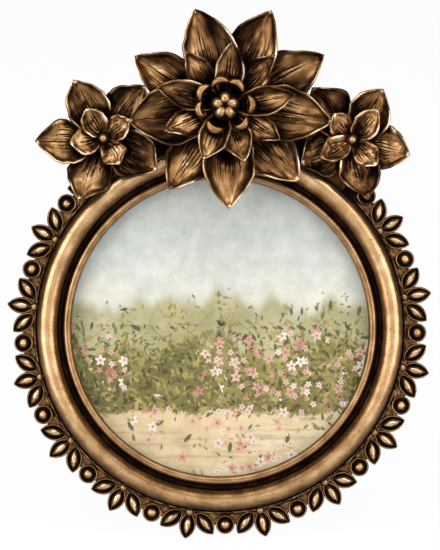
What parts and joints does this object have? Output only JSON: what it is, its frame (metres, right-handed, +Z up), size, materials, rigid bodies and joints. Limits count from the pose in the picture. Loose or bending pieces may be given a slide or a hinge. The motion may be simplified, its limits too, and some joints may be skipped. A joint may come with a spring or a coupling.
{
  "type": "round photo frame",
  "caption": "Round table-top photo frame in antique bronze resin: leaf-and-bead border, crest of open flowers, glass, and an easel strut that folds flat.",
  "frame": {"origin": "on the table, under the middle of the standing frame's outline from above", "axes": "+Z up, the picture faces -Y and leans back towards +Y, +X to the viewer's right"},
  "size_m": [0.1371, 0.0586, 0.1691],
  "materials": {
    "bronze_resin": "cast polyresin painted antique bronze, dark in the hollows and rubbed bright on the edges",
    "clear_glass": "clear polished float glass",
    "print_paper": "matt printed card",
    "black_board": "fibreboard faced with black flocked paper",
    "plated_steel": "zinc plated, satin"
  },
  "bodies": {
    "frame": {"ring_frame": "bronze_resin", "leaf_border": "bronze_resin", "centre_flower_outer_petals": "bronze_resin", "centre_flower_inner_petals": "bronze_resin", "centre_flower_cup": "bronze_resin", "centre_flower_stamens": "bronze_resin", "left_flower_outer_petals": "bronze_resin", "left_flower_inner_petals": "bronze_resin", "left_flower_bead": "bronze_resin", "right_flower_outer_petals": "bronze_resin", "right_flower_inner_petals": "bronze_resin", "right_flower_bead": "bronze_resin", "glass_pane": "clear_glass", "photo_print": "print_paper", "back_board": "black_board", "hinge_plate": "plated_steel", "hinge_pin": "plated_steel", "hinge_rivets": "plated_steel", "turn_button_screws": "plated_steel"},
    "strut": {"easel_strut": "black_board", "strut_hinge_leaf": "plated_steel", "strut_rivets": "plated_steel"},
    "button_upper_right": {"turn_button_upper_right": "plated_steel"},
    "button_upper_left": {"turn_button_upper_left": "plated_steel"},
    "button_lower_left": {"turn_button_lower_left": "plated_steel"},
    "button_lower_right": {"turn_button_lower_right": "plated_steel"}
  },
  "joints": [
    {"name": "strut_fold", "type": "hinge", "parent": "frame", "child": "strut", "pos_m": [0, 0.00614, 0.08721], "axis": [1, 0, 0], "range_deg": [-28, 0]},
    {"name": "turn_button_upper_right_turn", "type": "hinge", "parent": "frame", "child": "button_upper_right", "pos_m": [0.03879, 0.0068, 0.10228], "axis": [0, -0.9703, 0.2419], "continuous": true},
    {"name": "turn_button_upper_left_turn", "type": "hinge", "parent": "frame", "child": "button_upper_left", "pos_m": [-0.03879, 0.0068, 0.10228], "axis": [0, -0.9703, 0.2419], "continuous": true},
    {"name": "turn_button_lower_left_turn", "type": "hinge", "parent": "frame", "child": "button_lower_left", "pos_m": [-0.03879, -0.01196, 0.02701], "axis": [0, -0.9703, 0.2419], "continuous": true},
    {"name": "turn_button_lower_right_turn", "type": "hinge", "parent": "frame", "child": "button_lower_right", "pos_m": [0.03879, -0.01196, 0.02701], "axis": [0, -0.9703, 0.2419], "continuous": true}
  ]
}
